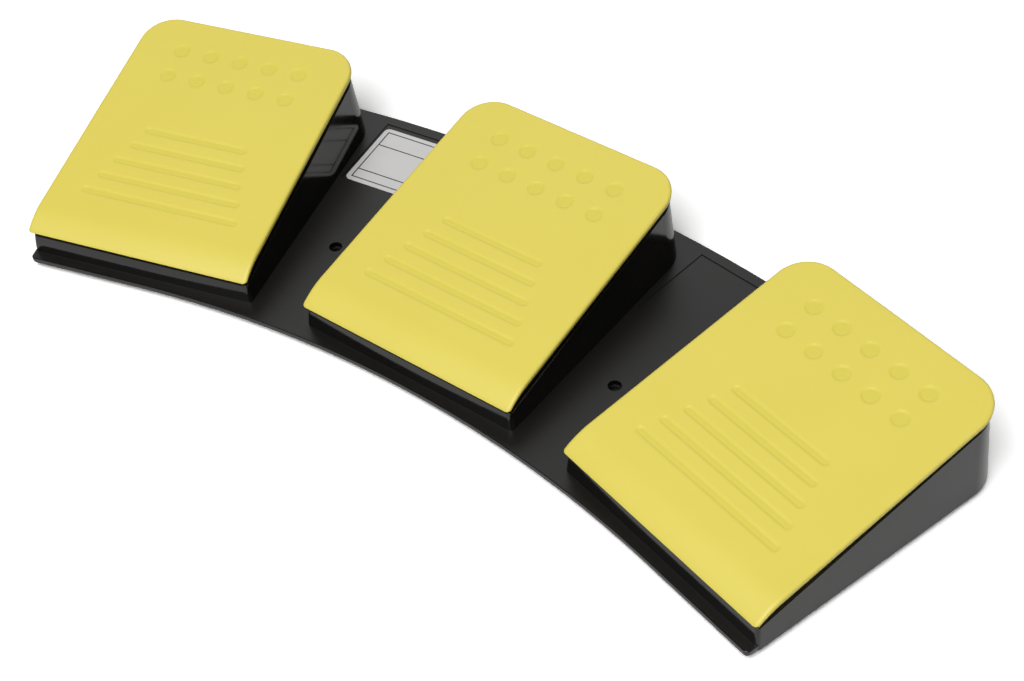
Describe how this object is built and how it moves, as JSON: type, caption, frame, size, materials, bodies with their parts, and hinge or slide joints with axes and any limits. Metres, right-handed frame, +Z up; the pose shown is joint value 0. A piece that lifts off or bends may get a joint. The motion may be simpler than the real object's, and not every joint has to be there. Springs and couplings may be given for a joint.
{
  "type": "foot pedal switch",
  "caption": "Row of sprung foot pedals with soft yellow pads on a low black arc-shaped base; each pedal tilts on a hinge and works a switch inside.",
  "frame": {"origin": "under the middle of the outline, on the plane of the feet", "axes": "+X along the row to the right, +Y from the low front to the high rear, +Z up"},
  "size_m": [0.3264, 0.1278, 0.0331],
  "materials": {
    "shell_black": "semi-gloss moulded black plastic",
    "plate_grey": "dark grey powder coat on sheet steel",
    "pad_yellow": "soft matte yellow rubber",
    "foot_rubber": "matte black rubber",
    "treadle_black": "matte moulded black plastic",
    "steel": "bright zinc plated steel",
    "label_white": "satin film label, blank",
    "switch_black": "moulded dark plastic",
    "plunger_red": "polished red plastic",
    "blade_brass": "plain brass",
    "lead_red": "red lead insulation",
    "board_green": "green circuit board",
    "chip_black": "black chip package",
    "plug_ivory": "ivory plug housing",
    "grommet_black": "black rubber"
  },
  "bodies": {
    "base": {"base_shell": "shell_black", "bottom_plate": "plate_grey", "plate_screws": "steel", "feet": "foot_rubber", "blank_label": "label_white", "cable_grommet": "grommet_black", "switch_terminals": "blade_brass", "switch_screws": "steel", "main_board": "board_green", "board_screws": "steel", "controller_chip": "chip_black", "lead_plugs": "plug_ivory", "cord_header": "plug_ivory", "hinge_pin_left": "steel", "spring_left_a": "steel", "spring_left_b": "steel", "switch_body_left": "switch_black", "switch_leads_left": "lead_red", "hinge_pin_centre": "steel", "spring_centre_a": "steel", "spring_centre_b": "steel", "switch_body_centre": "switch_black", "switch_leads_centre": "lead_red", "hinge_pin_right": "steel", "spring_right_a": "steel", "spring_right_b": "steel", "switch_body_right": "switch_black", "switch_leads_right": "lead_red"},
    "pedal_left": {"pad_left": "pad_yellow", "treadle_left": "treadle_black"},
    "plunger_left": {"switch_plunger_left": "plunger_red"},
    "pedal_centre": {"pad_centre": "pad_yellow", "treadle_centre": "treadle_black"},
    "plunger_centre": {"switch_plunger_centre": "plunger_red"},
    "pedal_right": {"pad_right": "pad_yellow", "treadle_right": "treadle_black"},
    "plunger_right": {"switch_plunger_right": "plunger_red"}
  },
  "joints": [
    {"name": "press_left", "type": "hinge", "parent": "base", "child": "pedal_left", "pos_m": [-0.10184, -0.04324, 0.007], "axis": [-0.9641, -0.2656, 0], "range_deg": [0, 1.15], "stiffness_Nm_per_rad": 7.5, "springref_deg": -1.72, "deforming": ["spring_left_a", "spring_left_b"]},
    {"name": "plunge_left", "type": "slide", "parent": "base", "child": "plunger_left", "axis": [0, 0, -1], "range_m": [0, 0.0009]},
    {"name": "press_centre", "type": "hinge", "parent": "base", "child": "pedal_centre", "pos_m": [0, -0.02947, 0.007], "axis": [-1, 0, 0], "range_deg": [0, 1.15], "stiffness_Nm_per_rad": 7.5, "springref_deg": -1.72, "deforming": ["spring_centre_a", "spring_centre_b"]},
    {"name": "plunge_centre", "type": "slide", "parent": "base", "child": "plunger_centre", "axis": [0, 0, -1], "range_m": [0, 0.0009]},
    {"name": "press_right", "type": "hinge", "parent": "base", "child": "pedal_right", "pos_m": [0.10184, -0.04324, 0.007], "axis": [-0.9641, 0.2656, 0], "range_deg": [0, 1.15], "stiffness_Nm_per_rad": 7.5, "springref_deg": -1.72, "deforming": ["spring_right_a", "spring_right_b"]},
    {"name": "plunge_right", "type": "slide", "parent": "base", "child": "plunger_right", "axis": [0, 0, -1], "range_m": [0, 0.0009]}
  ],
  "couplings": [
    {"joint": "plunge_left", "follows": "press_left", "m_per_rad": 0.0415},
    {"joint": "plunge_centre", "follows": "press_centre", "m_per_rad": 0.0415},
    {"joint": "plunge_right", "follows": "press_right", "m_per_rad": 0.0415}
  ]
}
